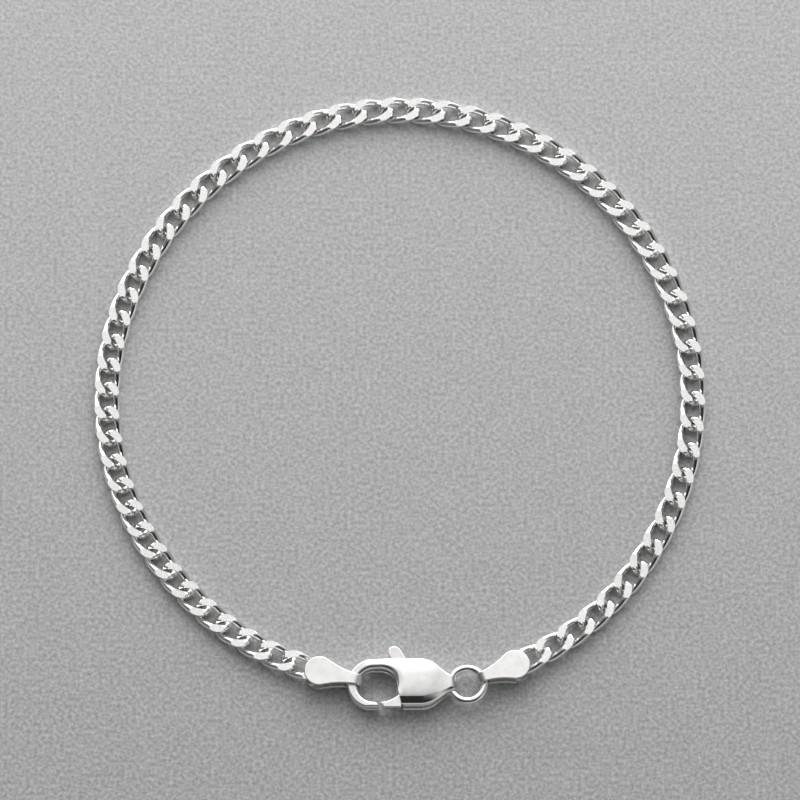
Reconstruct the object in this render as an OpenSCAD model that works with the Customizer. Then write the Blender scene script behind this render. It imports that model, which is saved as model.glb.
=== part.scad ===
// Curb link bracelet, closed by a lobster clasp and lying flat in a loose round.
// X runs along the clasp towards its tail, Y runs away from the clasp across the loop, and Z is up.
// The origin is at the middle of the loop's outline, on the surface that it lies on.

/* [Chain] */
// Number of links in the chain
link_count = 63; // [30:1:75]
// Length that each link adds to the chain
link_pitch = 2.71; // [2.5:0.01:3.2]
// Diameter of the wire that a link is bent from
link_wire = 0.78; // [0.6:0.02:0.84]
// Width of a link from edge to edge
link_width = 2.8; // [2.6:0.05:3.4]
// Play between the wires of two neighbouring links
link_play = 0.21; // [0.15:0.01:0.25]
// Turn of each end of a link about its length, which lets the chain lie flat
link_twist = 50; // [40:1:60]
// Metal ground off the top and off the bottom of each link
link_ground = 0.3; // [0:0.02:0.35]
// Links at each end that come down from the end tab to the surface
settle_links = 6; // [3:1:12]

/* [End tabs] */
// Length of the tab folded over the clasp's hook
left_tab_len = 6.1; // [5.2:0.1:8]
// Length of the tab folded over the jump ring
right_tab_len = 5.7; // [5.2:0.1:8]
// Width of a tab's round end
tab_wide = 3.04; // [2.8:0.02:4]
// Width of a tab at its fold
tab_neck = 1.04; // [0.7:0.02:1.3]
// Thickness of the sheet that a tab is folded from
tab_sheet = 0.32; // [0.25:0.01:0.45]
// Free height above and below the link that a tab holds
tab_play = 0.1; // [0.06:0.01:0.2]
// Outer radius of a tab's fold, seen from the side
fold_r = 0.7; // [0.5:0.05:0.9]
// Distance from the centre of a tab's round end to the middle of its link
link_reach = 2; // [1.8:0.05:2.3]
// Radius of the solder post that stands in the opening of a tab's link
post_r = 0.28; // [0.2:0.02:0.3]
// Direction of the left tab, seen from above
left_heading = 166.5; // [155:0.5:175]
// Direction of the right tab, seen from above
right_heading = 21.5; // [8:0.5:30]
// Turn of the link that a tab holds towards the inside of the loop
link_lean = 9; // [0:1:15]

/* [Jump ring] */
// Outer diameter of the jump ring
ring_od = 4.25; // [3.9:0.05:5]
// Diameter of the ring's wire
ring_wire = 0.78; // [0.6:0.02:0.9]

/* [Clasp] */
// Width of the clasp's body and hook
clasp_w = 5.1; // [4.8:0.05:6]
// Thickness of the clasp's body
clasp_h = 2.5; // [2.3:0.05:3]
// Length of the body from the middle of the hook's eye to the middle of its round end
body_len = 4.42; // [4.4:0.02:6]
// Length of the tail beyond the middle of the body's round end
tail_len = 3.76; // [3.6:0.02:4.5]
// Width of the tail's neck
neck_w = 1.36; // [1.1:0.02:1.6]
// Thickness of the tail
tail_h = 1.7; // [1.5:0.05:2]
// Radius of the rounds at the end of the tail, seen from the side
tail_round = 0.7; // [0.4:0.05:0.75]
// Metal left between the end of the tail and the jump ring
eye_wall = 0.34; // [0.3:0.01:0.5]
// Radius of the hook's eye
eye_r = 1.85; // [1.6:0.01:2]
// Straight stretch of the hook's eye
eye_run = 0.46; // [0.2:0.02:0.8]
// Width of the hook's arm where the tab is folded over it
arm_w = 1.03; // [0.8:0.01:1.2]
// Thickness of the hook's arm at its tip and under the fold
arm_h = 1.15; // [0.95:0.05:1.15]
// Width of the bevel round the body's edge
bevel_w = 0.7; // [0.3:0.05:1]
// Drop of the bevel
bevel_h = 0.45; // [0.2:0.05:0.5]
// Width of the narrow rim below the bevel
rim_w = 0.1; // [0.05:0.01:0.2]
// Height of the rim
rim_h = 0.15; // [0.1:0.01:0.2]
// Depth of the seam line between the clasp's two soldered halves
seam_depth = 0.07; // [0.02:0.01:0.12]

/* [Lever] */
// Thickness of the lever
lever_h = 1.1; // [0.9:0.05:1.15]
// Distance of the pivot from the middle of the body's round end, along the clasp
pivot_back = 0.62; // [0.4:0.02:0.7]
// Distance of the pivot from the clasp's centre line
pivot_y = 1.2; // [1.1:0.02:1.3]
// Radius of the pivot pin
pin_r = 0.35; // [0.25:0.01:0.4]
// Radius of the lever's hub
hub_r = 0.75; // [0.65:0.01:0.8]
// Width of the thumb piece
thumb_w = 1.1; // [0.8:0.02:1.2]
// Height of the thumb piece above the edge of the clasp
thumb_out = 1.3; // [1:0.05:2]
// Lean of the thumb piece away from square to the clasp
thumb_lean = 24.6; // [20:0.2:28]
// Travel of the lever from closed to open
lever_travel = 24; // [15:1:24]

/* [Fits] */
// Gap between parts that stay still against each other
still_gap = 0.02; // [0.01:0.01:0.03]
// Gap between the pin and the lever's bore
pivot_gap = 0.05; // [0.02:0.01:0.08]
// Gap between the lever and the clasp's shells and walls
lever_gap = 0.08; // [0.05:0.01:0.12]
// Gap between loops that hang in each other
loop_gap = 0.06; // [0.04:0.01:0.1]
// Gap between the hook's tip and the closed lever
mouth_gap = 0.25; // [0.15:0.01:0.4]

/* [Hidden] */

$fn = 64;
// Room by which a cutting shape runs past what it cuts
past = 1;

// Way round the loop: each row is a wave of the loop's radius round its middle.
// Columns: waves in one turn, height as a share of the mean radius, direction of a crest
loop_waves = [
    [1, 0.0128, 110],
    [2, 0.0176, 93],
    [3, 0.0033, 63],
    [4, 0.0030, 6],
];
// Place of the clasp as shares of the mean radius: how far below the loop's middle it lies,
// and how far to the right the stretch between the two end links has its middle
clasp_drop = 1.0015;
clasp_aside = 0.0482;
// Angle over which the loop eases into each end link
ease_angle = 14;
// How far the links have slid back along the way, in links, as waves of one hump, two humps and so on
link_slides = [0.44, 0.1, -0.05, 0, -0.03];

// Link of the chain, with its length along X
wire_r = link_wire / 2;
half_w = link_width / 2 - wire_r;
half_l = (link_pitch + link_wire + link_play) / 2;
end_x = half_l - half_w;
end_steps = 4;
end_step = 180 / end_steps;
// Stations along the wire: the end that they belong to, and the angle round it
stations = concat(
    [for (g = [-90:end_step:90]) [1, g]], [[0, 90]],
    [for (g = [90:end_step:270]) [-1, g]], [[0, 270]]
);
function twist_at(x) = -link_twist * x / half_l;
function flat_point(st) = [st[0] * (end_x + half_w * abs(cos(st[1]))), half_w * sin(st[1])];
function wire_point(st) = let (f = flat_point(st), t = twist_at(f[0])) [f[0], f[1] * cos(t), f[1] * sin(t)];
function wire_way(st) = let (
    f = flat_point(st), t = twist_at(f[0]), dx = -sin(st[1]), dy = cos(st[1]),
    dt = -link_twist * PI / 180 * dx / half_l,
    w = [dx, dy * cos(t) - f[1] * sin(t) * dt, dy * sin(t) + f[1] * cos(t) * dt]
) w / norm(w);
// Highest point of the wire's centre, sought along one round end
link_peak = max([for (g = [0:2:90]) abs(wire_point([1, g])[2])]);
link_h = 2 * (link_peak + wire_r - link_ground);
// Six corners of the wire's section, with those above and below moved onto the ground faces
function corner_angle(room) = acos(min(room / wire_r, cos(30)));
function section(st) = let (
    c = wire_point(st), w = wire_way(st),
    side = cross([0, 0, 1], w) / norm(cross([0, 0, 1], w)), up = cross(w, side),
    top = corner_angle((link_h / 2 - c[2]) / up[2]), low = corner_angle((link_h / 2 + c[2]) / up[2]),
    ring = [[sin(top), cos(top)], [1, 0], [sin(low), -cos(low)], [-sin(low), -cos(low)], [-1, 0], [-sin(top), cos(top)]]
) [for (q = ring) c + wire_r * (q[0] * side + q[1] * up)];
link_points = [for (st = stations) each section(st)];
link_faces = [for (i = [0:len(stations) - 1], j = [0:5])
    let (n = (i + 1) % len(stations), k = (j + 1) % 6, a = i * 6 + j, b = i * 6 + k, c = n * 6 + k, d = n * 6 + j)
    each [[a, b, c], [a, c, d]]];

// End tab, with the fold's end at its origin and its length along X
tab_slot = link_h + 2 * tab_play;
tab_h = tab_slot + 2 * tab_sheet;
wide_r = tab_wide / 2;
function wide_x(tab_len) = tab_len - wide_r;

// Clasp, with the middle of the hook's eye at its origin
mid_z = clasp_h / 2;
clasp_hw = clasp_w / 2;
eye_left = -eye_run / 2;
hook_x = eye_left - eye_r - arm_w + clasp_hw;
tail_x = body_len + tail_len;
ring_r = (ring_od - ring_wire) / 2;
ring_x = tail_x - eye_wall + ring_r - ring_wire / 2;
pivot_x = body_len - pivot_back;
pivot = [pivot_x, -pivot_y];
bay_h = lever_h + 2 * lever_gap;

// How far the round inside a fold keeps off a bar of the given thickness
fold_in = fold_r - tab_sheet;
function kept_off(thickness) = fold_in - sqrt(pow(fold_in, 2) - pow(max(0, (thickness - tab_slot) / 2 + fold_in), 2));
// How far each fold reaches over what it holds, towards the middle of the eye or ring
fold_over_arm = tab_sheet + kept_off(arm_h) + loop_gap + 0.15 * tab_neck;
fold_over_ring = tab_sheet + kept_off(ring_wire) + still_gap / 2;
arm_seat = 171.8;
function dir(a) = [cos(a), sin(a)];
left_fold = [eye_left, 0] + (eye_r - fold_over_arm) * dir(arm_seat);
right_fold = [ring_x, 0] + (ring_r - ring_wire / 2 - fold_over_ring) * dir(right_heading);
left_wide = left_fold + wide_x(left_tab_len) * dir(left_heading);
right_wide = right_fold + wide_x(right_tab_len) * dir(right_heading);
first_link = left_wide + link_reach * dir(left_heading - link_lean);
last_link = right_wide + link_reach * dir(right_heading + link_lean);

// Mean radius of the loop, from the chain's length and the stretch that the clasp spans
span = norm(last_link - first_link);
chain_len = (link_count - 1) * link_pitch;
function loop_radius(r, tries) = tries == 0 ? r
    : loop_radius((chain_len + 2 * r * asin(span / 2 / r) * PI / 180) / (2 * PI), tries - 1);
mean_r = loop_radius((chain_len + span) / (2 * PI), 5);
clasp_at = [clasp_aside * mean_r - (first_link[0] + last_link[0]) / 2, -clasp_drop * mean_r];

// Centre line of the chain, clockwise from the first link to the last one
first_at = first_link + clasp_at;
last_at = last_link + clasp_at;
first_angle = atan2(first_at[1], first_at[0]);
last_angle = atan2(last_at[1], last_at[0]) - 360;
function wave_r(a) = mean_r * (1 + sum_of([for (w = loop_waves) w[1] * cos(w[0] * (a - w[2]))]));
function sum_of(v, i = 0) = i == len(v) ? 0 : v[i] + sum_of(v, i + 1);
function ease(a) = pow(max(0, 1 - a / ease_angle), 2);
function loop_r(a) = wave_r(a)
    + (norm(first_at) - wave_r(first_angle)) * ease(first_angle - a)
    + (norm(last_at) - wave_r(last_angle)) * ease(a - last_angle);
function loop_point(a) = loop_r(a) * dir(a);
loop_steps = 6 * link_count;
loop_angles = [for (i = [0:loop_steps]) first_angle + (last_angle - first_angle) * i / loop_steps];
loop_lengths = [for (i = 0, run = 0; i <= loop_steps;
    i = i + 1, run = run + (i <= loop_steps ? norm(loop_point(loop_angles[i]) - loop_point(loop_angles[i - 1])) : 0)) run];
loop_len = loop_lengths[loop_steps];
angle_table = [for (i = [0:loop_steps]) [loop_lengths[i], loop_angles[i]]];
function slide(part) = sum_of([for (i = [0:len(link_slides) - 1]) link_slides[i] * sin((i + 1) * 180 * part)]);
function link_share(k) = (k - slide(k / (link_count - 1))) / (link_count - 1);
function link_at(k) = loop_point(lookup(loop_len * link_share(k), angle_table));

// Outline of the whole bracelet, which the origin is the middle of
link_places = [for (k = [0:link_count - 1]) link_at(k)];
place_x = [for (p = link_places) p[0]];
place_y = [for (p = link_places) p[1]];
to_origin = -[
    (max(place_x) + min(place_x)) / 2,
    (max(place_y) + link_width / 2 + clasp_at[1] - clasp_hw) / 2,
];

// A tab droops from its fold until its round end touches the surface
function droop(tab_len) = asin(max(0, mid_z - tab_h / 2) / tab_len);
function end_link_z(tab_len) = mid_z - (wide_x(tab_len) + link_reach) * sin(droop(tab_len));
function settle(k, z) = (z - link_h / 2) * pow(max(0, 1 - k / settle_links), 2);
function link_z(k) = link_h / 2 + settle(k, end_link_z(left_tab_len))
    + settle(link_count - 1 - k, end_link_z(right_tab_len));
function link_place(k) = [link_places[k][0] + to_origin[0], link_places[k][1] + to_origin[1], link_z(k)];
// A link slopes towards its neighbours as far as its low end clears the surface
function link_way(k) = let (
    w = link_place(min(k + 1, link_count - 1)) - link_place(max(k - 1, 0)),
    most = (link_z(k) - link_h / 2) / (half_l + wire_r) * norm([w[0], w[1]]),
    v = [w[0], w[1], max(-most, min(most, w[2]))]
) v / norm(v);
function placed(p, k) = let (
    w = link_way(k), out = cross([0, 0, 1], w) / norm(cross([0, 0, 1], w)), up = cross(w, out)
) link_place(k) + p[0] * w + p[1] * out + p[2] * up;

// Solder post of a tab, on the middle line of the link that the tab holds
post_in = end_x + 0.08 * wire_r;
function post_from(fold, heading, k, toward) = let (
    p = link_places[k] - clasp_at + toward * post_in * [link_way(k)[0], link_way(k)[1]], v = p - fold
) [v * dir(heading), v * dir(heading + 90)];

module curb_chain() {
    points = [for (k = [0:link_count - 1]) each [for (p = link_points) placed(p, k)]];
    faces = [for (k = [0:link_count - 1]) each [for (f = link_faces) [for (v = f) v + k * len(link_points)]]];
    color("silver") polyhedron(points, faces, convexity = 10);
}

// Teardrop outline of a tab: a round end, and a neck that widens along two tangent arcs
module tab_outline(tab_len) {
    x = wide_x(tab_len);
    half_neck = tab_neck / 2;
    flare = (x * x + half_neck * half_neck - wide_r * wide_r) / (2 * (wide_r - half_neck));
    touch = flare / (flare + wide_r);
    translate([x, 0]) circle(r = wide_r);
    difference() {
        translate([0, -wide_r]) square([x * touch, 2 * wide_r]);
        for (side = [-1, 1]) translate([0, side * (half_neck + flare)]) circle(r = flare, $fn = 128);
    }
}

// Side view of a bar with rounds of radius r on its left end
module round_ended(length, height, r) {
    translate([r, -height / 2]) square([length - r, height]);
    translate([0, r - height / 2]) square([r, height - 2 * r]);
    for (side = [-1, 1]) translate([r, side * (height / 2 - r)]) circle(r = r);
}

module across(width) {
    rotate([90, 0, 0]) linear_extrude(height = width, center = true) children();
}

// Tab of folded sheet. hold is the width of what its fold holds, and post is where its post stands.
module end_tab(tab_len, over, hold, post) {
    slot_x = wide_x(tab_len) + link_reach - half_l - wire_r - 2 * tab_play;
    difference() {
        intersection() {
            linear_extrude(height = tab_h, center = true) tab_outline(tab_len);
            across(tab_wide + past) round_ended(tab_len + past, tab_h, fold_r);
        }
        across(tab_wide + past) translate([tab_sheet, 0])
            round_ended(over - tab_sheet + hold + 2 * loop_gap, tab_slot, fold_in);
        across(tab_wide + past) translate([slot_x, -tab_slot / 2]) square([tab_len, tab_slot]);
    }
    translate([post[0], post[1], 0]) cylinder(r = post_r, h = tab_h - tab_sheet, center = true);
}

module end_tab_left() {
    post = post_from(left_fold, left_heading, 0, -1);
    color("gainsboro") in_clasp() at_fold(left_fold, left_heading, left_tab_len)
        end_tab(left_tab_len, fold_over_arm, arm_w, post);
}

module end_tab_right() {
    post = post_from(right_fold, right_heading, link_count - 1, 1);
    color("gainsboro") difference() {
        in_clasp() at_fold(right_fold, right_heading, right_tab_len)
            end_tab(right_tab_len, fold_over_ring, ring_wire, post);
        in_clasp() ring_shape(loop_gap);
    }
}

module in_clasp() {
    translate([to_origin[0] + clasp_at[0], to_origin[1] + clasp_at[1], mid_z]) children();
}

module at_fold(fold, heading, tab_len) {
    translate([fold[0], fold[1], 0]) rotate([0, droop(tab_len), heading]) children();
}

module ring_shape(gap) {
    translate([ring_x, 0, 0]) rotate_extrude($fn = 96) translate([ring_r, 0]) circle(r = ring_wire / 2 + gap);
}

module jump_ring() {
    color("silver") in_clasp() ring_shape(0);
}

// Right half of the clasp's section: flat top, bevel, narrow rim, side wall and seam line
seam_h = 0.85 * seam_depth;
half_section = [
    [0, mid_z], [clasp_hw - rim_w - bevel_w, mid_z], [clasp_hw - rim_w, mid_z - bevel_h],
    [clasp_hw, mid_z - bevel_h - rim_h], [clasp_hw, seam_h], [clasp_hw - seam_depth, 0], [clasp_hw, -seam_h],
    [clasp_hw, bevel_h + rim_h - mid_z], [clasp_hw - rim_w, bevel_h - mid_z],
    [clasp_hw - rim_w - bevel_w, -mid_z], [0, -mid_z],
];

// Side view of the clasp: thin hook, body of full thickness, and tail with a rounded end
module clasp_side() {
    arm_end = eye_left - 0.8 * eye_r;
    full_x = 0.54 * eye_r;
    fall_x = body_len + 0.27 * clasp_hw;
    neck_x = body_len + 1.04 * clasp_hw;
    far_x = hook_x - clasp_hw - past;
    arm_z = arm_h / 2;
    round_at = [tail_x - tail_round, tail_h / 2 - tail_round];
    upper = concat(
        [[far_x, arm_z], [arm_end, arm_z], [full_x, mid_z], [fall_x, mid_z], [neck_x, tail_h / 2]],
        [for (a = [90:-10:0]) round_at + tail_round * dir(a)]
    );
    polygon(concat(upper, [for (i = [len(upper) - 1:-1:0]) [upper[i][0], -upper[i][1]]]));
}

// Flare of the tail in plan, with arcs that flow into the body's round end
module flare_outline() {
    half_neck = neck_w / 2;
    neck_run = 0.34 * neck_w;
    arc_x = tail_len - neck_run;
    start_r = 0.985 * clasp_hw;
    arc = (arc_x * arc_x + half_neck * half_neck - start_r * start_r) / (2 * (start_r - half_neck));
    touch = start_r / (start_r + arc);
    touch_y = (half_neck + arc) * touch;
    difference() {
        translate([body_len + arc_x * touch, -touch_y]) square([arc_x * (1 - touch), 2 * touch_y]);
        for (side = [-1, 1]) translate([body_len + arc_x, side * (half_neck + arc)]) circle(r = arc);
    }
}

module clasp_blank() {
    translate([hook_x, 0, 0]) rotate([90, 0, 90]) linear_extrude(height = body_len - hook_x) {
        polygon(half_section);
        mirror([1, 0]) polygon(half_section);
    }
    for (end = [[hook_x, 90], [body_len, -90]])
        translate([end[0], 0, 0]) rotate([0, 0, end[1]]) rotate_extrude(angle = 180) polygon(half_section);
    linear_extrude(height = clasp_h - 2 * bevel_h, center = true) flare_outline();
    translate([body_len, -neck_w / 2, -mid_z]) cube([tail_len, neck_w, clasp_h]);
}

// Line square to the gate's end, on which the mouth opens
mouth_turn = 54;
gate_tip = [eye_run / 2, -1.054 * eye_r];
gate_arc_at = [0.11, 0.49] * eye_r;
gate_arc_r = 1.56 * eye_r;
jamb_top = [eye_run / 2 + 0.95 * eye_r, -0.65 * eye_r];
jamb_low = [eye_run / 2 + 1.09 * eye_r, -clasp_hw];

// Opening of the mouth in plan, between the hook's tip and the end of the body's side wall
module mouth_outline() {
    side = dir(-mouth_turn);
    tip = gate_tip - mouth_gap * dir(90 - mouth_turn);
    polygon([
        tip - 0.3 * clasp_hw * side, tip + 1.2 * clasp_hw * side, [jamb_low[0], -clasp_hw - past],
        jamb_low, jamb_top, [eye_run, 0],
    ]);
}

// Room for the lever in plan, between the clasp's two shells
module bay_outline() {
    reach = thumb_w / 2 / cos(thumb_lean) + lever_gap + still_gap;
    top_y = clasp_hw + past;
    left_x = function (y) pivot_x - (y + pivot_y) * tan(thumb_lean) - reach;
    right_x = pivot_x + hub_r + lever_gap;
    open_x = pivot_x - (top_y + pivot_y) * tan(thumb_lean - lever_travel) + reach;
    low_y = -pivot_y - hub_r - lever_gap;
    polygon([
        [eye_run / 2 + 0.9 * eye_r, -0.2 * eye_r], [left_x(-0.1 * eye_r), -0.1 * eye_r], [left_x(top_y), top_y],
        [open_x, top_y], [right_x, -pivot_y], [right_x, low_y], [jamb_low[0] + 1.5 * lever_gap, low_y],
        [jamb_low[0] + lever_gap / 2, -clasp_hw - past], [eye_run, -clasp_hw - past], [eye_run, -0.5 * eye_r],
    ]);
}

module clasp_body() {
    pin_deep = 0.33;
    color("silver") in_clasp() difference() {
        intersection() {
            clasp_blank();
            across(clasp_w + past) clasp_side();
        }
        for (x = [eye_left, -eye_left]) translate([x, 0, 0]) cylinder(r = eye_r, h = clasp_h + past, center = true);
        cube([eye_run, 2 * eye_r, clasp_h + past], center = true);
        linear_extrude(height = clasp_h + past, center = true) mouth_outline();
        linear_extrude(height = bay_h, center = true) bay_outline();
        for (side = [-1, 1]) translate([hook_x - clasp_w, -clasp_w, side * (arm_h + clasp_h) / 2 - clasp_h / 2])
            cube([clasp_w - hook_x + gate_tip[0], clasp_w - 0.11 * eye_r, clasp_h]);
        translate([pivot[0], pivot[1], 0]) cylinder(r = pin_r + still_gap, h = bay_h + 2 * pin_deep, center = true);
        ring_shape(loop_gap);
    }
}

// Lever in plan: gate, hub round the pin, and thumb piece
module lever_outline() {
    thumb_len = (clasp_hw + thumb_out + pivot_y - thumb_w / 2) / cos(thumb_lean);
    side = dir(-mouth_turn);
    tip_low = gate_tip + side * (clasp_hw + gate_tip[1]) / sin(mouth_turn);
    translate(pivot) circle(r = hub_r);
    translate(pivot) rotate(thumb_lean) {
        translate([-thumb_w / 2, 0]) square([thumb_w, thumb_len]);
        translate([0, thumb_len]) circle(r = thumb_w / 2);
    }
    difference() {
        polygon([
            gate_tip, tip_low, [jamb_low[0] - lever_gap, -clasp_hw], [jamb_low[0], -pivot_y - hub_r],
            [pivot_x, -pivot_y - hub_r], [pivot_x, -pivot_y + hub_r], [jamb_top[0] - lever_gap, -pivot_y],
            [gate_tip[0] + 0.27 * eye_r, -0.65 * eye_r],
        ]);
        translate(gate_arc_at) circle(r = gate_arc_r, $fn = 128);
    }
}

module clasp_lever() {
    color("whitesmoke") in_clasp() difference() {
        linear_extrude(height = lever_h, center = true) lever_outline();
        translate([pivot[0], pivot[1], 0]) cylinder(r = pin_r + pivot_gap, h = clasp_h, center = true);
    }
}

module pivot_pin() {
    pin_out = 0.3;
    color("gray") in_clasp() translate([pivot[0], pivot[1], 0]) cylinder(r = pin_r, h = bay_h + 2 * pin_out, center = true);
}

curb_chain();
end_tab_left();
end_tab_right();
jump_ring();
clasp_body();
clasp_lever();
pivot_pin();
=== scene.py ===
"""Curb link bracelet with a lobster clasp, lying closed in a loose round on pale paper."""

import math

import bpy
import numpy as np
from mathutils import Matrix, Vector


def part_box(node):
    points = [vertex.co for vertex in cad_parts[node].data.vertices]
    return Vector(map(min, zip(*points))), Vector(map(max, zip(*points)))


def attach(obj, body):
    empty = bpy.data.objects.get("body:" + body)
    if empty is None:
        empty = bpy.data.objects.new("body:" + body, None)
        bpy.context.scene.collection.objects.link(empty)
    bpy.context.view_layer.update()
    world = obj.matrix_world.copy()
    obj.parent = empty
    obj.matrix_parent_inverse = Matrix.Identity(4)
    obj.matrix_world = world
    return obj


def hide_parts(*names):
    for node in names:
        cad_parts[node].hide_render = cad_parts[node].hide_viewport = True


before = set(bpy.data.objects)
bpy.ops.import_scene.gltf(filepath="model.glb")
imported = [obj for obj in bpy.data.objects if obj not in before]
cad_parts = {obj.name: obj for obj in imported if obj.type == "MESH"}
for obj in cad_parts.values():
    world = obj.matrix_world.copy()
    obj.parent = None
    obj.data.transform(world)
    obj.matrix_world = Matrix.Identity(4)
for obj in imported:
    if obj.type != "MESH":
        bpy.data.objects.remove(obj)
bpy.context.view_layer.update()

# Sizes are in millimetres, as in the CAD, and turn into metres where meshes are made
MM = 0.001

# Chain link
LINK_PITCH = 2.71
WIRE_R = 0.39
LINK_HALF_W = 1.4 - WIRE_R
LINK_HALF_L = (LINK_PITCH + 2 * WIRE_R + 0.21) / 2
LINK_END_X = LINK_HALF_L - LINK_HALF_W
LINK_TWIST = math.radians(50)
LINK_HALF_H = 1.21324 / 2

# Clasp, with the middle of the hook's eye at its origin and Z from its middle
CLASP_HW = 2.55
CLASP_HALF_H = 1.25
BODY_LEN = 4.42
TAIL_X = 8.18
TAIL_HALF_H = 0.85
TAIL_SLOPE = (BODY_LEN + 0.5, BODY_LEN + 2.8)
TAIL_ROUND = 0.84
TAIL_ROUND_X = TAIL_X - 0.86
NECK_HALF_W = 0.68
NECK_FILLET = 1.3
EYE_R = 1.85
EYE_HALF_RUN = 0.23
EYE_WALL_R = 1.65
EYE_WALL_RUN = (-0.37, 0.3)
EYE_DROP = 0.2
ARM_W = 1.03
ARM_HALF_H = 0.575
LOWER_ARM_TOP = 0.52
LOWER_ARM_DEPTH = 1.05
HOOK_X = -EYE_HALF_RUN - EYE_R - ARM_W + CLASP_HW
HOOK_DROP = 0.07
HOOK_R = 2.49
RING_WIRE_R = 0.39
RING_R = 1.735
RING_X = TAIL_X - 0.34 + RING_R - RING_WIRE_R
RING_PLAY = 0.06
LEVER_HALF_H = 0.55
LEVER_GAP = 0.08
LEVER_TURN = math.radians(24)
PIVOT = (BODY_LEN - 0.62, -1.2)
PIN_R = 0.35
PIN_FIT = 0.02
PIN_PLAY = 0.05
PIN_HOLE_HALF_H = 0.96
HUB_R = 0.75
THUMB_W = 1.25
THUMB_OUT = 1.25
THUMB_FLARE = 0.2
THUMB_BEND = 0.13
THUMB_LEAN = math.radians(24.6)
MOUTH_TURN = math.radians(54)
MOUTH_WAY = (math.cos(MOUTH_TURN), -math.sin(MOUTH_TURN))
MOUTH_GAP = 0.33
GATE_TIP = (EYE_HALF_RUN, -1.054 * EYE_R)
GATE_HOLLOW = (0.11 * EYE_R, 0.49 * EYE_R, 1.56 * EYE_R)
JAMB_TOP = (2.18, -1.25)
JAMB_LOW = (2.54, -CLASP_HW)
BEYOND = CLASP_HW + 1
BEVEL_W = 1.07
BEVEL_W_LOST = 0.68
BEVEL_SIDE, BEVEL_UP = 0.539, 0.843
BEVEL_OFF = 0.6
FRONT_INSET = 0.12
SEAM_Z = -0.2
SEAM_DEPTH = 0.12
RIM_Z = -0.36

# End tabs, with the fold's end at the origin and the length along X
TAB_SHEET = 0.32
TAB_SLOT = 2 * LINK_HALF_H + 0.2
TAB_HALF_H = TAB_SLOT / 2 + TAB_SHEET
TAB_WIDE_R = 1.52
TAB_HALF_NECK = 0.52
FOLD_R = 0.7
FOLD_OUT = 0.92
FOLD_IN = FOLD_R - TAB_SHEET
LINK_REACH = 2.0
LINK_CLEAR = 0.2
WEB_CLEAR = 0.12
WEB_INSET = 0.09
POST_R = 0.28
ARM_SLACK = 0.216
RING_SLACK = 0.01
LEFT_TAB_LEN = 6.1
LEFT_TAB_WAY = math.radians(166.5)
LEFT_SEAT_WAY = math.radians(171.8)
RIGHT_TAB_LEN = 5.7
RIGHT_TAB_WAY = math.radians(21.5)

# Steps of the meshes, and how their points are pulled onto the surfaces
WIRE_STEP = 0.185
PATH_SAMPLES = 4001
CHORD_POINTS = 4
ARC_PARTS = 8
LEAST_GROUND = math.radians(9)
RING_STEPS = 160
RING_SIDES = 36
BODY_GRID = (0.055, 0.05, 0.035)
LEVER_GRID = (0.045, 0.045, 0.045)
TAB_GRID = (0.05, 0.05, 0.04)
SLOPE_STEP = 0.004
LEAST_SQUARE_SLOPE = 0.25
PULL_ROUNDS = 3
PULL_REACH = 0.6

CLASP_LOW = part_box("clasp_body")[0]
CLASP_AT = np.array([CLASP_LOW.x / MM + CLASP_HW - HOOK_X, CLASP_LOW.y / MM + CLASP_HW, CLASP_HALF_H])


def both(a, b, r=0.0, lean=0.0):
    """Distance to what two shapes share, with its edge rounded by r. Lean is the cosine of their angle."""
    p, q = a + r, b + r
    corner = np.sqrt(np.maximum(p * p + q * q - 2 * lean * p * q, 0) / (1 - lean * lean))
    outside = (p > lean * q) & (q > lean * p)
    return np.where(outside, corner, np.maximum(p, q)) - r


def join(a, b, r):
    """Distance to two shapes together, with a fillet of radius r between them."""
    return np.maximum(np.minimum(a, b), r) - np.hypot(np.maximum(r - a, 0), np.maximum(r - b, 0))


def cut(a, b, r=0.0):
    """Distance to shape a without shape b."""
    return both(a, -b, r)


def ramp(v, low, high):
    """Smooth step of v from 0 at low to 1 at high."""
    t = np.clip((v - low) / (high - low), 0, 1)
    return t * t * (3 - 2 * t)


def bar(x, y, x0, x1, r):
    """Distance to a round-ended bar along X."""
    return np.hypot(x - np.clip(x, x0, x1), y) - r


def box2(x, y, half_x, half_y, r):
    """Distance to a rectangle round the origin, with rounded corners."""
    qx = np.abs(x) - half_x + r
    qy = np.abs(y) - half_y + r
    return np.hypot(np.maximum(qx, 0), np.maximum(qy, 0)) + np.minimum(np.maximum(qx, qy), 0) - r


def polygon(x, y, points):
    """Distance to a polygon."""
    best = None
    inside = False
    for (ax, ay), (bx, by) in zip(points, points[1:] + points[:1]):
        ex, ey = bx - ax, by - ay
        wx, wy = x - ax, y - ay
        t = np.clip((wx * ex + wy * ey) / (ex * ex + ey * ey), 0, 1)
        d = (wx - ex * t) ** 2 + (wy - ey * t) ** 2
        best = d if best is None else np.minimum(best, d)
        crossed = ((y >= ay) != (y >= by)) & ((wx * ey < ex * wy) == (ay > by))
        inside = inside ^ crossed
    return np.where(inside, -1, 1) * np.sqrt(best)


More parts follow.
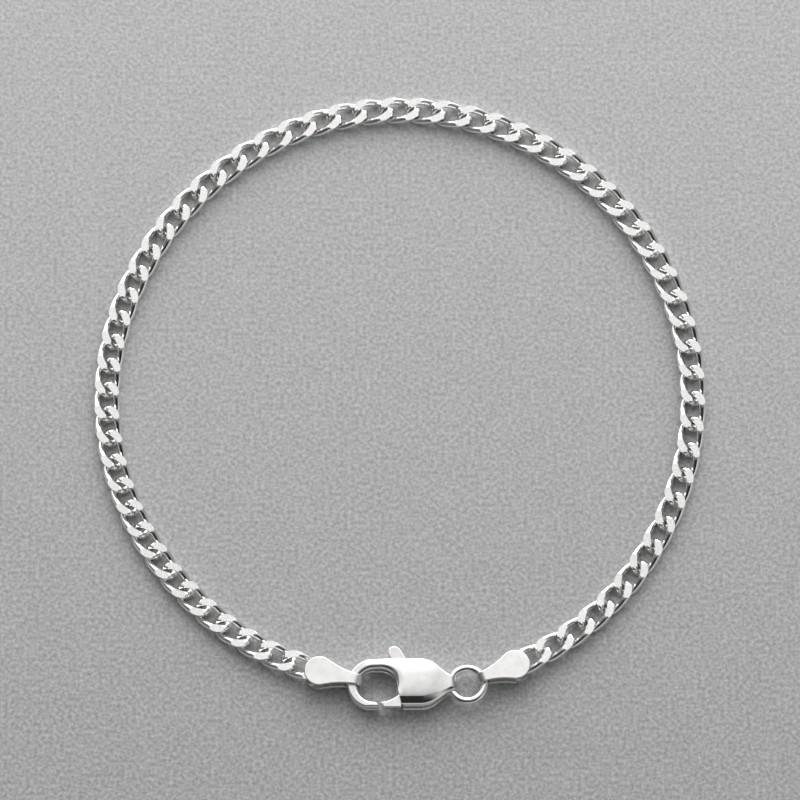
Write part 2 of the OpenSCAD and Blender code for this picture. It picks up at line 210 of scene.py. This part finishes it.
def spread(shape, low, high, step):
    """Closed mesh of the surface where shape is zero: points, quads and outward normals."""
    # One point for each cell of the grid that the surface passes through
    axes = [np.arange(lo - 1.5 * s, hi + 2.5 * s, s) for lo, hi, s in zip(low, high, step)]
    nx, ny, nz = (len(a) for a in axes)
    values = np.broadcast_to(
        shape(axes[0][:, None, None], axes[1][None, :, None], axes[2][None, None, :]), (nx, ny, nz)
    )
    solid = values < 0
    corners = [(i, j, k) for i in (0, 1) for j in (0, 1) for k in (0, 1)]
    count = np.zeros((nx - 1, ny - 1, nz - 1), np.int8)
    for i, j, k in corners:
        count += solid[i : nx - 1 + i, j : ny - 1 + j, k : nz - 1 + k]
    mixed = (count > 0) & (count < 8)
    cells = np.argwhere(mixed)
    index = np.full(mixed.shape, -1, np.int64)
    index[mixed] = np.arange(len(cells))
    total = np.zeros((len(cells), 3))
    hits = np.zeros(len(cells))
    ci, cj, ck = cells.T
    for a in corners:
        for axis in range(3):
            if a[axis]:
                continue
            b = list(a)
            b[axis] = 1
            va = values[ci + a[0], cj + a[1], ck + a[2]]
            vb = values[ci + b[0], cj + b[1], ck + b[2]]
            cross = (va < 0) != (vb < 0)
            t = np.where(cross, va / np.where(cross, va - vb, 1), 0)
            spot = np.array(a, float)[None, :] + t[:, None] * (np.array(b) - np.array(a))[None, :]
            total += spot * cross[:, None]
            hits += cross
    low_corner = np.array([a[0] for a in axes])
    step = np.array(step)
    points = low_corner + (cells + total / hits[:, None]) * step

    # One quad for each edge of the grid that it crosses
    quads = []
    for axis in range(3):
        u, v = (axis + 1) % 3, (axis + 2) % 3
        ahead = [slice(None)] * 3
        behind = [slice(None)] * 3
        ahead[axis], behind[axis] = slice(1, None), slice(None, -1)
        change = solid[tuple(behind)] != solid[tuple(ahead)]
        for w in (u, v):
            edge = [slice(None)] * 3
            edge[w] = 0
            change[tuple(edge)] = False
            edge[w] = -1
            change[tuple(edge)] = False
        spots = np.argwhere(change)
        outward = solid[tuple(spots.T)]
        quad = []
        for du, dv in ((0, 0), (1, 0), (1, 1), (0, 1)):
            c = spots.copy()
            c[:, u] -= du
            c[:, v] -= dv
            quad.append(index[tuple(c.T)])
        quad = np.stack(quad, 1)
        quad[~outward] = quad[~outward][:, ::-1]
        quads.append(quad)
    quads = np.concatenate(quads)

    def slope(p):
        g = np.zeros_like(p)
        for axis in range(3):
            q, r = p.copy(), p.copy()
            q[:, axis] += SLOPE_STEP
            r[:, axis] -= SLOPE_STEP
            g[:, axis] = (shape(*q.T) - shape(*r.T)) / (2 * SLOPE_STEP)
        return g

    # The points pulled onto the surface, within their own cells
    start = points.copy()
    for _ in range(PULL_ROUNDS):
        g = slope(points)
        move = shape(*points.T)[:, None] * g / np.maximum((g * g).sum(1), LEAST_SQUARE_SLOPE)[:, None]
        points = start + np.clip(points - move - start, -PULL_REACH * step, PULL_REACH * step)
    g = slope(points)
    return points, quads, g / np.maximum(np.linalg.norm(g, axis=1), 1e-9)[:, None]


def tube_quads(n, m):
    """Quads of a closed tube with n stations of m points each."""
    i, j = np.meshgrid(np.arange(n), np.arange(m), indexing="ij")
    i2, j2 = (i + 1) % n, (j + 1) % m
    return np.stack([i * m + j, i2 * m + j, i2 * m + j2, i * m + j2], -1).reshape(-1, 4)


def make_piece(name, points, faces, normals=None):
    """Object from points in millimetres, smooth, with its own normals where they are given."""
    mesh = bpy.data.meshes.new(name)
    mesh.from_pydata((np.asarray(points) * MM).tolist(), [], np.asarray(faces).tolist())
    mesh.shade_smooth()
    if normals is not None:
        mesh.normals_split_custom_set_from_vertices(normals.tolist())
    piece = bpy.data.objects.new(name, mesh)
    bpy.context.scene.collection.objects.link(piece)
    return piece


# Chain: each link of the frame gives the place and the axes of a finely bent one
def flat_way(s):
    """Points and directions of the link's untwisted path, at lengths s along it."""
    arc = math.pi * LINK_HALF_W
    run = 2 * LINK_END_X
    s = np.mod(s, 2 * (arc + run))
    half = s >= arc + run
    t = np.where(half, s - arc - run, s)
    on_arc = t < arc
    g = -math.pi / 2 + t / LINK_HALF_W
    x = np.where(on_arc, LINK_END_X + LINK_HALF_W * np.cos(g), LINK_END_X - (t - arc))
    y = np.where(on_arc, LINK_HALF_W * np.sin(g), LINK_HALF_W)
    dx = np.where(on_arc, -np.sin(g), -1.0)
    dy = np.where(on_arc, np.cos(g), 0.0)
    sign = np.where(half, -1, 1)
    return sign * x, sign * y, sign * dx, sign * dy


def wire_frame(s):
    """Centre, sideways axis and upward axis of the link's wire."""
    x, y, dx, dy = flat_way(s)
    turn = -LINK_TWIST * x / LINK_HALF_L
    rate = -LINK_TWIST * dx / LINK_HALF_L
    c = np.stack([x, y * np.cos(turn), y * np.sin(turn)], 1)
    w = np.stack(
        [dx, dy * np.cos(turn) - y * np.sin(turn) * rate, dy * np.sin(turn) + y * np.cos(turn) * rate], 1
    )
    w /= np.linalg.norm(w, axis=1)[:, None]
    side = np.cross([0.0, 0.0, 1.0], w)
    side /= np.linalg.norm(side, axis=1)[:, None]
    return c, side, np.cross(w, side)


def link_shape():
    """One link: points, quads, and for each quad whether it is a ground face."""
    length = 2 * (math.pi * LINK_HALF_W + 2 * LINK_END_X)
    fine = np.linspace(0, length, PATH_SAMPLES)
    c, _, up = wire_frame(fine)
    over = np.abs(c[:, 2]) + WIRE_R * up[:, 2] - LINK_HALF_H
    marks = fine[:-1][(over[:-1] < 0) != (over[1:] < 0)]
    stations = []
    for a, b in zip(marks, list(marks[1:]) + [marks[0] + length]):
        n = max(2, round((b - a) / WIRE_STEP))
        t = np.arange(n) / n
        stations.extend(a + (b - a) * t)
    c, side, up = wire_frame(np.array(stations))
    corners = []
    for sign in (1, -1):
        room = (LINK_HALF_H - sign * c[:, 2]) / (WIRE_R * up[:, 2])
        corners.append(np.maximum(np.arccos(np.clip(room, -1, 1)), LEAST_GROUND))
    top, low = corners
    chord = np.linspace(-1, 1, CHORD_POINTS)
    arc = np.arange(1, ARC_PARTS) / ARC_PARTS
    angles = [top * q for q in chord]
    angles += [top + (math.pi - low - top) * q for q in arc]
    angles += [math.pi + low * q for q in chord]
    angles += [math.pi + low + (math.pi - low - top) * q for q in arc]
    angles = np.stack(angles, 1)
    p = c[:, None, :] + WIRE_R * (
        np.sin(angles)[..., None] * side[:, None, :] + np.cos(angles)[..., None] * up[:, None, :]
    )
    z = np.clip(p[..., 2], -LINK_HALF_H, LINK_HALF_H)
    p = p - up[:, None, :] * ((p[..., 2] - z) / up[:, None, 2])[..., None]
    quads = tube_quads(*angles.shape)
    level = np.abs(np.abs(p[..., 2]) - LINK_HALF_H) < 1e-6
    return p.reshape(-1, 3), quads, level.reshape(-1)[quads].all(1)


def link_places(node):
    """Centre and three axes of each link of the frame's chain, in millimetres."""
    mesh = node.data
    co = np.zeros(len(mesh.vertices) * 3)
    mesh.vertices.foreach_get("co", co)
    co = co.reshape(-1, 3) / MM
    spots, same = np.unique(np.round(co, 4), axis=0, return_inverse=True)
    same = same.reshape(-1)
    edges = np.zeros(len(mesh.edges) * 2, np.int64)
    mesh.edges.foreach_get("vertices", edges)
    edges = same[edges].reshape(-1, 2)
    group = np.arange(len(spots))
    while True:
        low = np.minimum(group[edges[:, 0]], group[edges[:, 1]])
        new = group.copy()
        np.minimum.at(new, edges[:, 0], low)
        np.minimum.at(new, edges[:, 1], low)
        new = new[new]
        if (new == group).all():
            break
        group = new
    places = []
    for g in np.unique(group):
        part = spots[group == g]
        middle = part.mean(0)
        _, axes = np.linalg.eigh(np.cov((part - middle).T))
        up = axes[:, 0] * np.sign(axes[2, 0])
        way = axes[:, 2]
        places.append((middle, way, np.cross(up, way), up))
    return places


links = link_places(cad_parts["curb_chain"])
link_points, link_quads, link_ground = link_shape()
chain_points = []
chain_quads = []
for k, (middle, way, out, up) in enumerate(links):
    chain_points.append(middle + link_points @ np.stack([way, out, up]))
    chain_quads.append(link_quads + k * len(link_points))
chain = make_piece("curb_chain_links", np.concatenate(chain_points), np.concatenate(chain_quads))
ground = np.tile(link_ground, len(links))
attribute = chain.data.attributes.new("ground", "FLOAT", "FACE")
attribute.data.foreach_set("value", ground.astype(np.float32))
face_of_loop = np.repeat(np.arange(len(ground)), 4)
edge_of_loop = np.zeros(len(chain.data.loops), np.int64)
chain.data.loops.foreach_get("edge_index", edge_of_loop)
loop_ground = ground[face_of_loop].astype(float)
faces_ground = np.bincount(edge_of_loop, weights=loop_ground, minlength=len(chain.data.edges))
sharp = chain.data.attributes.new("sharp_edge", "BOOLEAN", "EDGE")
sharp.data.foreach_set("value", np.abs(faces_ground - 1) < 0.5)
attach(chain, "bracelet")
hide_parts("curb_chain")


# Clasp body
def ring_torus(x, y, z, r):
    """Distance to the jump ring, drawn with wire of radius r."""
    return np.hypot(np.hypot(x - RING_X, y) - RING_R, z) - r


def eye(x, y):
    """Distance to the hook's opening, which lies a little to the mouth's side of the clasp's middle."""
    return bar(x, y + EYE_DROP, *EYE_WALL_RUN, EYE_WALL_R)


def top_height(x, y):
    """Height of the clasp's top over its plan."""
    lower_arm = ramp(-x, -1.4, -0.3) * ramp(-y, -0.5, 0.4)
    full = ARM_HALF_H + (CLASP_HALF_H - ARM_HALF_H) * ramp(x, -2.7, 1.3)
    full = full - (CLASP_HALF_H - TAIL_HALF_H) * ramp(x, *TAIL_SLOPE)
    full = full - lower_arm * (full - LOWER_ARM_TOP)
    crown = 0.01 * y**2 + 0.004 * y**4
    soft = 0.12 * np.maximum(0, 1 - eye(x, y) / 0.9) ** 2 * ramp(x, 0.5, 2)
    return full - (crown + soft) * ramp(full, ARM_HALF_H, CLASP_HALF_H)


def bottom_depth(x, y):
    """Depth of the clasp's underside over its plan."""
    full = ARM_HALF_H + (CLASP_HALF_H - ARM_HALF_H) * ramp(x, -2.0, 0.0)
    full = full - (CLASP_HALF_H - TAIL_HALF_H) * ramp(x, *TAIL_SLOPE)
    return full + (LOWER_ARM_DEPTH - full) * ramp(-y, 0.5, 1.3) * ramp(-x, -1.0, 0.0)


def mouth(x, y):
    """Distance to the hook's mouth, which the gate closes."""
    back = (-MOUTH_WAY[1], MOUTH_WAY[0])
    tip = (GATE_TIP[0] - MOUTH_GAP * back[0], GATE_TIP[1] - MOUTH_GAP * back[1])
    near, painted_falloff_depth = -0.3 * CLASP_HW, 1.2 * CLASP_HW
    return polygon(x, y, [
        (tip[0] + near * MOUTH_WAY[0], tip[1] + near * MOUTH_WAY[1]),
        (tip[0] + painted_falloff_depth * MOUTH_WAY[0], tip[1] + painted_falloff_depth * MOUTH_WAY[1]),
        (JAMB_LOW[0], -BEYOND), JAMB_LOW, JAMB_TOP, (1.96, -0.2), (2 * EYE_HALF_RUN, 0),
    ])


def bay(x, y):
    """Distance to the lever's slot through the body, with room for the lever to open."""
    reach = THUMB_W / 2 / math.cos(THUMB_LEAN) + LEVER_GAP + 0.02
    right = PIVOT[0] + HUB_R + LEVER_GAP
    low = PIVOT[1] - HUB_R - LEVER_GAP

    def left(v):
        return PIVOT[0] - (v - PIVOT[1]) * math.tan(THUMB_LEAN) - reach

    opened = PIVOT[0] - (BEYOND - PIVOT[1]) * math.tan(THUMB_LEAN - LEVER_TURN) + reach + THUMB_FLARE
    run = 2 * EYE_HALF_RUN
    return polygon(x, y, [
        (EYE_HALF_RUN + 0.9 * EYE_R, -0.2 * EYE_R), (left(-0.1 * EYE_R), -0.1 * EYE_R),
        (left(BEYOND), BEYOND), (opened, BEYOND), (right, PIVOT[1]), (right, low),
        (JAMB_LOW[0] + 1.5 * LEVER_GAP, low), (JAMB_LOW[0] + LEVER_GAP / 2, -BEYOND),
        (run, -BEYOND), (run, -0.5 * EYE_R),
    ])


def clasp_body(x, y, z):
    """Distance to the clasp's body: bevelled upper shell, core in the seam and rounded under shell."""
    up = np.abs(z)
    hook = np.hypot(x - HOOK_X, y + HOOK_DROP) - HOOK_R
    body = join(bar(x, y, -0.4, BODY_LEN, CLASP_HW), hook, 0.2)
    neck = box2(x - (BODY_LEN + TAIL_X) / 2, y, (TAIL_X - BODY_LEN) / 2, NECK_HALF_W, 0.2)
    plan = np.maximum(join(body, neck, NECK_FILLET), np.abs(y) - CLASP_HW)
    inner = np.minimum(eye(x, y), mouth(x, y))
    whole = both(plan, -inner, 0.15)
    top = z - top_height(x, y)
    bottom = -z - bottom_depth(x, y)
    arm = ramp(-x, -1.2, 0.5)
    tail = ramp(x, *TAIL_SLOPE)
    bevel_w = BEVEL_W - BEVEL_W_LOST * tail
    bevel_z = CLASP_HALF_H - (CLASP_HALF_H - TAIL_HALF_H) * tail
    bevel = BEVEL_SIDE * (plan + bevel_w) + BEVEL_UP * (z - bevel_z) - BEVEL_OFF * ramp(y, -0.1, 0.8)
    inset = plan + FRONT_INSET * ramp(-y, 0.2, 1.2) * ramp(x, 0.3, 2.0) * (1 - tail)
    over = both(bevel, inset, 0.6 - 0.25 * tail, BEVEL_SIDE)
    over = np.maximum(over, both(top, inset, 0.2 + 0.05 * arm))
    over = both(over, -eye(x, y), 0.33 + 0.15 * ramp(y, 0.0, 1.0))
    over = both(over, both(whole, SEAM_Z - z, 0.02), 0.02)
    under = both(both(bottom, whole, 0.12), z - RIM_Z, 0.3)
    core = both(whole + SEAM_DEPTH, np.maximum(z - SEAM_Z - 0.1, bottom + 0.05))
    solid = np.minimum(np.minimum(over, under), core)
    tail_up = up - TAIL_HALF_H - 0.02 - np.maximum(0, TAIL_ROUND_X - x)
    solid = both(solid, both(x - TAIL_X, tail_up, TAIL_ROUND))
    solid = cut(solid, both(bay(x, y), up - LEVER_HALF_H - LEVER_GAP), 0.04)
    pin_hole = np.hypot(x - PIVOT[0], y - PIVOT[1]) - PIN_R - PIN_FIT
    solid = cut(solid, both(pin_hole, up - PIN_HOLE_HALF_H))
    return cut(solid, ring_torus(x, y, z, RING_WIRE_R + RING_PLAY), 0.08)


def clasp_lever(x, y, z):
    """Distance to the lever: thumb piece, hub and gate in one."""
    along = (-math.sin(THUMB_LEAN), math.cos(THUMB_LEAN))
    reach = (CLASP_HW + THUMB_OUT - PIVOT[1] - THUMB_W / 2) / math.cos(THUMB_LEAN)
    bent = x - PIVOT[0] + THUMB_BEND * np.maximum(0, y - CLASP_HW + 0.1)
    u = bent * along[0] + (y - PIVOT[1]) * along[1]
    v = bent * along[1] - (y - PIVOT[1]) * along[0]
    flare = THUMB_FLARE * ramp(y, CLASP_HW - 1, CLASP_HW)
    thumb = bar(u, v - flare / 2, 0, reach, (THUMB_W + flare) / 2)
    hub = np.hypot(x - PIVOT[0], y - PIVOT[1]) - HUB_R
    low = (CLASP_HW + GATE_TIP[1]) / math.sin(MOUTH_TURN)
    gate = polygon(x, y, [
        GATE_TIP, (GATE_TIP[0] + low * MOUTH_WAY[0], -CLASP_HW),
        (JAMB_LOW[0] - LEVER_GAP, -CLASP_HW), (JAMB_LOW[0], PIVOT[1] - HUB_R),
        (PIVOT[0], PIVOT[1] - HUB_R), (PIVOT[0], PIVOT[1] + HUB_R), (JAMB_TOP[0] - LEVER_GAP, PIVOT[1]),
        (GATE_TIP[0] + 0.27 * EYE_R, -0.65 * EYE_R),
    ])
    gate = cut(gate, np.hypot(x - GATE_HOLLOW[0], y - GATE_HOLLOW[1]) - GATE_HOLLOW[2])
    plan = join(hub, thumb, 0.1)
    plan = join(plan, gate, 0.05)
    solid = both(plan, np.abs(z) - LEVER_HALF_H, 0.1)
    return cut(solid, np.hypot(x - PIVOT[0], y - PIVOT[1]) - PIN_R - PIN_PLAY)


body_points, body_quads, body_normals = spread(
    clasp_body, (HOOK_X - CLASP_HW, -2.6, -CLASP_HALF_H), (TAIL_X, 2.6, CLASP_HALF_H), BODY_GRID
)
body = make_piece("clasp_shells", body_points + CLASP_AT, body_quads, body_normals)
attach(body, "bracelet")
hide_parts("clasp_body")

lever_points, lever_quads, lever_normals = spread(
    clasp_lever, (0.1, -CLASP_HW, -LEVER_HALF_H), (4.7, 4.1, LEVER_HALF_H), LEVER_GRID
)
lever = make_piece("clasp_lever_gate", lever_points + CLASP_AT, lever_quads, lever_normals)
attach(lever, "lever")
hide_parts("clasp_lever")

# Jump ring
around, across = np.meshgrid(np.arange(RING_STEPS), np.arange(RING_SIDES), indexing="ij")
a = around * 2 * math.pi / RING_STEPS
b = across * 2 * math.pi / RING_SIDES
out = RING_R + RING_WIRE_R * np.cos(b)
ring_points = np.stack([out * np.cos(a), out * np.sin(a), RING_WIRE_R * np.sin(b)], -1).reshape(-1, 3)
ring_points = ring_points + CLASP_AT + np.array([RING_X, 0, 0])
ring = make_piece("jump_ring_wire", ring_points, tube_quads(RING_STEPS, RING_SIDES))
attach(ring, "bracelet")
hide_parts("jump_ring")


# End tabs
def make_tab(name, node, length, heading, fold, hold, over):
    """End tab whose fold ends at fold. The wire it holds starts at over from there and is hold wide."""
    wide_x = length - TAB_WIDE_R
    flare = (wide_x**2 + TAB_HALF_NECK**2 - TAB_WIDE_R**2) / (2 * (TAB_WIDE_R - TAB_HALF_NECK))
    centre_y = TAB_HALF_NECK + flare
    slot_x = wide_x + LINK_REACH - LINK_HALF_L - WIRE_R - LINK_CLEAR
    droop = math.asin((CLASP_HALF_H - TAB_HALF_H) / length)
    level = math.cos(droop)
    way = np.array([math.cos(heading) * level, math.sin(heading) * level, -math.sin(droop)])
    out = np.array([-math.sin(heading), math.cos(heading), 0])
    axes = np.stack([way, out, np.cross(way, out)])
    at = CLASP_AT + np.array([fold[0], fold[1], 0])
    middle, link_way = min(((m, w) for m, w, _, _ in links), key=lambda p: np.linalg.norm(p[0] - at))
    toward = link_way if np.dot(at - middle, link_way) > 0 else -link_way
    post = axes @ (middle + toward * (LINK_END_X + 0.08 * WIRE_R) - at)

    def outline(x, y):
        y = np.abs(y)
        neck = flare - np.hypot(x, y - centre_y)
        end = np.hypot(x - wide_x, y) - TAB_WIDE_R
        before = x * centre_y + (y - centre_y) * wide_x < 0
        return np.where(before, neck, end)

    def tab(x, y, z):
        up = np.abs(z)
        plan = outline(x, y)
        sheets = both(plan, both(-x, up - TAB_HALF_H, FOLD_OUT), 0.07)
        hollow = both(TAB_SHEET - x, up - TAB_SLOT / 2, FOLD_IN)
        solid = cut(sheets, hollow, 0.05)
        web_from = over + hold + WEB_CLEAR
        web = both(plan + WEB_INSET, both(web_from - x, x - slot_x), 0.05)
        web = both(web, up - TAB_HALF_H + 0.1)
        stem = both(np.hypot(x - post[0], y - post[1]) - POST_R, up - TAB_HALF_H + TAB_SHEET / 2)
        return join(join(solid, web, 0.04), stem, 0.04)

    low = (0, -TAB_WIDE_R, -TAB_HALF_H)
    points, quads, normals = spread(tab, low, (length, TAB_WIDE_R, TAB_HALF_H), TAB_GRID)
    piece = make_piece(name, at + points @ axes, quads, normals @ axes)
    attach(piece, "bracelet")
    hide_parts(node)
    return piece


def kept_off(thickness):
    """How far the fold's inner round keeps a wire of this thickness off its end."""
    return FOLD_IN - math.sqrt(FOLD_IN**2 - max(0, (thickness - TAB_SLOT) / 2 + FOLD_IN) ** 2)


over_arm = TAB_SHEET + kept_off(2 * ARM_HALF_H) + ARM_SLACK
over_ring = TAB_SHEET + kept_off(2 * RING_WIRE_R) + RING_SLACK
left_in = EYE_R - over_arm
right_in = RING_R - RING_WIRE_R - over_ring
left_fold = (-EYE_HALF_RUN + left_in * math.cos(LEFT_SEAT_WAY), left_in * math.sin(LEFT_SEAT_WAY))
right_fold = (RING_X + right_in * math.cos(RIGHT_TAB_WAY), right_in * math.sin(RIGHT_TAB_WAY))
tab_left = make_tab(
    "end_tab_left_sheet", "end_tab_left", LEFT_TAB_LEN, LEFT_TAB_WAY, left_fold, ARM_W, over_arm
)
tab_right = make_tab(
    "end_tab_right_sheet", "end_tab_right", RIGHT_TAB_LEN, RIGHT_TAB_WAY, right_fold, 2 * RING_WIRE_R,
    over_ring,
)


# Materials
POLISHED_TINTS = ((0.86, 0.855, 0.845), (0.95, 0.945, 0.935))
GROUND_TINTS = ((0.74, 0.735, 0.73), (0.93, 0.925, 0.92))
PAPER_TINTS = ((0.36, 0.36, 0.362), (0.82, 0.82, 0.822))


class Nodes:
    """Short calls that add nodes to a tree and link them."""

    def __init__(self, tree):
        self.tree = tree
        self.tree.nodes.clear()

    def add(self, kind, **settings):
        node = self.tree.nodes.new(kind)
        for key, value in settings.items():
            if key.startswith("in_"):
                name = key[3:]
                socket = node.inputs[int(name)] if name.isdigit() else node.inputs[name.replace("_", " ")]
                if isinstance(value, bpy.types.NodeSocket):
                    self.tree.links.new(value, socket)
                else:
                    socket.default_value = value
            else:
                setattr(node, key, value)
        return node

    def math(self, how, a, b=0.0):
        return self.add("ShaderNodeMath", operation=how, in_0=a, in_1=b).outputs[0]

    def span(self, value, low, high, to_low, to_high, smooth=False):
        node = self.add(
            "ShaderNodeMapRange", interpolation_type="SMOOTHSTEP" if smooth else "LINEAR",
            in_0=value, in_1=low, in_2=high, in_3=to_low, in_4=to_high,
        )
        return node.outputs[0]

    def noise(self, where, scale, detail, rough):
        node = self.add(
            "ShaderNodeTexNoise", in_Vector=where, in_Scale=scale, in_Detail=detail, in_Roughness=rough
        )
        return node.outputs[0]

    def stretched(self, where, factors):
        return self.add("ShaderNodeMapping", in_Vector=where, in_Scale=factors).outputs[0]

    def tint(self, amount, dark, light):
        node = self.add("ShaderNodeMix", data_type="RGBA", in_0=amount)
        node.inputs[6].default_value = (*dark, 1)
        node.inputs[7].default_value = (*light, 1)
        return node.outputs[2]


def silver(name, shine, grain_way):
    """Polished silver with wipe marks and clouded shine. Ground faces have a duller, speckled grain."""
    material = bpy.data.materials.new(name)
    material.use_nodes = True
    n = Nodes(material.node_tree)
    where = n.add("ShaderNodeTexCoord").outputs["Object"]
    cloud = n.noise(where, 900.0, 3.0, 0.55)
    speck = n.noise(where, 6500.0, 4.0, 0.7)
    lines = n.noise(n.stretched(where, grain_way), 1500.0, 4.0, 0.65)
    ground = n.add("ShaderNodeAttribute", attribute_name="ground").outputs["Fac"]
    polished = n.tint(n.span(cloud, 0.35, 0.65, 0.0, 1.0), *POLISHED_TINTS)
    dull = n.tint(n.span(speck, 0.38, 0.62, 0.0, 1.0), *GROUND_TINTS)
    colour = n.add("ShaderNodeMix", data_type="RGBA", in_0=ground, in_6=polished, in_7=dull).outputs[2]
    clouded = n.span(cloud, 0.3, 0.7, shine, shine + 0.05)
    smooth_rough = n.math("ADD", clouded, n.span(lines, 0.55, 0.8, 0.0, 0.06))
    ground_rough = n.span(speck, 0.35, 0.65, 0.24, 0.4)
    rough = n.add("ShaderNodeMix", data_type="FLOAT", in_0=ground, in_2=smooth_rough, in_3=ground_rough)
    grain = n.math("MULTIPLY", speck, n.span(ground, 0.0, 1.0, 0.15, 1.0))
    height = n.math("ADD", grain, n.math("MULTIPLY", lines, 0.35))
    bump = n.add("ShaderNodeBump", in_Strength=0.35, in_Distance=0.000008, in_Height=height)
    shader = n.add(
        "ShaderNodeBsdfPrincipled", in_Metallic=1.0, in_Base_Color=colour,
        in_Roughness=rough.outputs[0], in_Normal=bump.outputs[0],
    )
    n.add("ShaderNodeOutputMaterial", in_Surface=shader.outputs[0])
    return material


finishes = {
    "curb_chain_links": silver("chain_silver", 0.15, (1.0, 0.3, 1.0)),
    "clasp_shells": silver("clasp_silver", 0.13, (0.2, 1.0, 1.0)),
    "clasp_lever_gate": silver("lever_silver", 0.15, (0.25, 1.0, 1.0)),
    "jump_ring_wire": silver("ring_silver", 0.08, (1.0, 0.4, 1.0)),
    "end_tab_left_sheet": silver("tab_silver_left", 0.14, (0.25, 1.0, 1.0)),
    "end_tab_right_sheet": silver("tab_silver_right", 0.14, (0.3, 1.0, 1.0)),
}
for piece in (chain, body, lever, ring, tab_left, tab_right):
    piece.data.materials.append(finishes[piece.name])
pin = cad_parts["pivot_pin"]
pin_finish = silver("pin_silver", 0.16, (1.0, 1.0, 0.2))
if pin.material_slots:
    for holder in pin.material_slots:
        holder.link = "OBJECT"
        holder.material = pin_finish
else:
    pin.data.materials.append(pin_finish)

# Floor of pale paper, 6 metres wide, with painted light falloff in its colour: darker at the front,
# lighter at the back
FLOOR_HALF = 3
floor_mesh = bpy.data.meshes.new("paper")
sheet = [(-FLOOR_HALF, -FLOOR_HALF, 0), (FLOOR_HALF, -FLOOR_HALF, 0), (FLOOR_HALF, FLOOR_HALF, 0),
         (-FLOOR_HALF, FLOOR_HALF, 0)]
floor_mesh.from_pydata(sheet, [], [(0, 1, 2, 3)])
floor = bpy.data.objects.new("paper", floor_mesh)
bpy.context.scene.collection.objects.link(floor)
paper = bpy.data.materials.new("paper")
paper.use_nodes = True
n = Nodes(paper.node_tree)
where = n.add("ShaderNodeTexCoord").outputs["Object"]
fibre = n.noise(where, 2600.0, 5.0, 0.6)
fine = n.noise(where, 7000.0, 3.0, 0.7)
cloud = n.noise(where, 260.0, 3.0, 0.5)
painted_falloff_depth = n.add("ShaderNodeSeparateXYZ", in_Vector=where).outputs[1]
tone = n.math("ADD", n.span(fibre, 0.3, 0.7, -0.38, 0.38), n.span(cloud, 0.3, 0.7, -0.03, 0.03))
# Painted light falloff: the paper's colour ramps along Y from darker at the front to lighter at the back,
# standing in for light that fades with distance from the source behind
tone = n.math("ADD", tone, n.span(painted_falloff_depth, -0.045, 0.045, 0.3, 0.7))
colour = n.tint(tone, *PAPER_TINTS)
grain = n.math("ADD", fibre, n.math("MULTIPLY", fine, 0.4))
bump = n.add("ShaderNodeBump", in_Strength=1.0, in_Distance=0.00003, in_Height=grain).outputs[0]
shader = n.add("ShaderNodeBsdfPrincipled", in_Base_Color=colour, in_Roughness=0.9, in_Normal=bump)
n.add("ShaderNodeOutputMaterial", in_Surface=shader.outputs[0])
floor_mesh.materials.append(paper)

# Studio light, given by direction: a wide soft source behind and overhead, which fades to the sides and
# to a faint grey above the front, and a grey glow low in front and at both sides, weaker on the left
KEY_HEIGHT = math.radians(12)
LEAST_LIGHT = 0.016
world = bpy.data.worlds.new("studio")
bpy.context.scene.world = world
world.use_nodes = True
n = Nodes(world.node_tree)
way = n.add("ShaderNodeTexCoord").outputs["Generated"]
parts = n.add("ShaderNodeSeparateXYZ", in_Vector=way).outputs
behind = n.add("ShaderNodeVectorMath", operation="DOT_PRODUCT", in_0=way)
behind.inputs[1].default_value = (0.0, math.cos(KEY_HEIGHT), math.sin(KEY_HEIGHT))
back = behind.outputs["Value"]
key = n.math("ADD", n.span(back, 0.12, 0.3, 0.0, 0.33), n.span(back, 0.3, 0.55, 0.0, 0.75))
key = n.math("ADD", key, n.span(back, 0.55, 1.0, 0.0, 2.4))
key = n.math("MAXIMUM", key, n.span(back, -0.25, -0.05, 0.0, 0.18, True))
aside = n.math("ABSOLUTE", parts[0])
key = n.math("MULTIPLY", key, n.span(aside, 0.45, 0.9, 1.0, 0.12))
key = n.math("MULTIPLY", key, n.span(parts[0], -1.0, 1.0, 1.12, 0.88))
low = n.span(parts[2], 0.42, 0.57, 0.56, 0.0, True)
low = n.math("MULTIPLY", low, n.span(parts[1], -0.5, -0.15, 1.0, 0.0, True))
low = n.math("MULTIPLY", low, n.span(parts[2], 0.05, 0.2, 0.0, 1.0, True))
side = n.span(aside, 0.5, 0.85, 0.0, 0.3, True)
side = n.math("MULTIPLY", side, n.span(parts[1], 0.1, 0.35, 1.0, 0.3, True))
low = n.math("MULTIPLY", n.math("ADD", low, side), n.span(parts[0], -0.5, 0.0, 0.25, 1.0, True))
strength = n.math("ADD", n.math("ADD", key, low), LEAST_LIGHT)
background = n.add("ShaderNodeBackground", in_Strength=strength)
background.inputs[0].default_value = (1.0, 1.0, 1.0, 1.0)
n.add("ShaderNodeOutputWorld", in_Surface=background.outputs[0])

# Camera at the photo's angle
CAMERA_HEIGHT = math.radians(72.18)
CAMERA_AWAY = 1.2
target = Vector((0.000029, 0.000353, 0.0))
camera_data = bpy.data.cameras.new("camera")
camera_data.lens = 524.8
camera_data.sensor_width = 36.0
camera_data.clip_start = 0.05
camera_data.clip_end = 20.0
camera = bpy.data.objects.new("camera", camera_data)
camera.location = target + CAMERA_AWAY * Vector((0.0, -math.cos(CAMERA_HEIGHT), math.sin(CAMERA_HEIGHT)))
camera.rotation_euler = (target - camera.location).to_track_quat("-Z", "Y").to_euler()
bpy.context.scene.collection.objects.link(camera)
bpy.context.scene.camera = camera
bpy.context.scene.view_settings.view_transform = "Standard"
bpy.context.scene.view_settings.look = "None"
